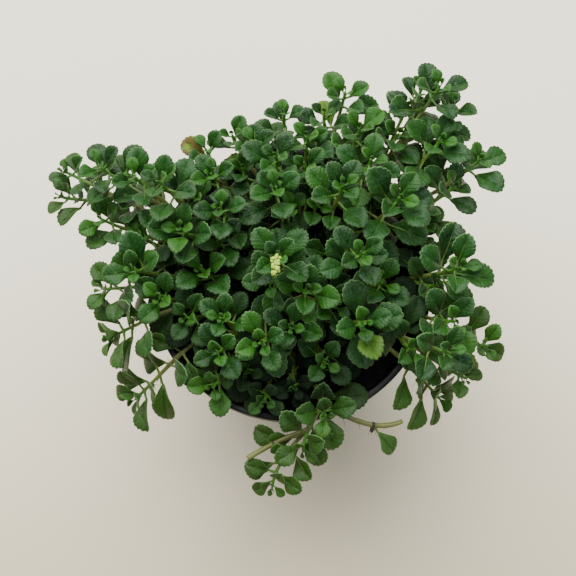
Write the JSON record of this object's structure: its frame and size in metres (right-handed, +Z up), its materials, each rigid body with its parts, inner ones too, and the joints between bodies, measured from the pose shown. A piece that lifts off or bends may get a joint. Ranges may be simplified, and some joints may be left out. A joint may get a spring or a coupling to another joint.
{
  "type": "potted creeping pilea",
  "caption": "Creeping pilea with small glossy scalloped leaves on standing and trailing stems, in dark soil in a round tapered black pot with a lip and drain holes.",
  "frame": {"origin": "centre of the pot's base, on the surface it stands on", "axes": "+Z up, -Y towards the side that is lowest in the picture, +X to the right in the picture"},
  "size_m": [0.1942, 0.1755, 0.1508],
  "materials": {
    "pot": "black, slightly glossy injection moulded plastic",
    "soil": "dark moist peat with pale fibres",
    "plant": "glossy quilted dark green leaves with pale margins, pale matte undersides, yellow-green stems"
  },
  "bodies": {
    "root": {"pot": "pot", "soil": "soil", "shoot_back_1": "plant", "shoot_back_10": "plant", "shoot_back_12": "plant", "shoot_back_3": "plant", "shoot_back_4": "plant", "shoot_back_5": "plant", "shoot_back_6": "plant", "shoot_back_7": "plant", "shoot_back_8": "plant", "shoot_back_right_1": "plant", "shoot_back_right_4": "plant", "shoot_back_right_5": "plant", "shoot_back_right_6": "plant", "shoot_back_right_7": "plant", "shoot_flowering": "plant", "shoot_front_1": "plant", "shoot_front_10": "plant", "shoot_front_11": "plant", "shoot_front_2": "plant", "shoot_front_3": "plant", "shoot_front_5": "plant", "shoot_front_6": "plant", "shoot_front_8": "plant", "shoot_front_9": "plant", "shoot_left_1": "plant", "shoot_left_10": "plant", "shoot_left_11": "plant", "shoot_left_3": "plant", "shoot_left_4": "plant", "shoot_left_5": "plant", "shoot_left_6": "plant", "shoot_left_7": "plant", "shoot_left_8": "plant", "shoot_left_9": "plant", "shoot_middle_1": "plant", "shoot_middle_11": "plant", "shoot_middle_13": "plant", "shoot_middle_14": "plant", "shoot_middle_15": "plant", "shoot_middle_17": "plant", "shoot_middle_19": "plant", "shoot_middle_2": "plant", "shoot_middle_20": "plant", "shoot_middle_21": "plant", "shoot_middle_22": "plant", "shoot_middle_3": "plant", "shoot_middle_4": "plant", "shoot_middle_5": "plant", "shoot_middle_6": "plant", "shoot_middle_9": "plant", "shoot_right_1": "plant", "shoot_right_3": "plant", "shoot_right_4": "plant", "shoot_right_7": "plant"}
  },
  "joints": []
}
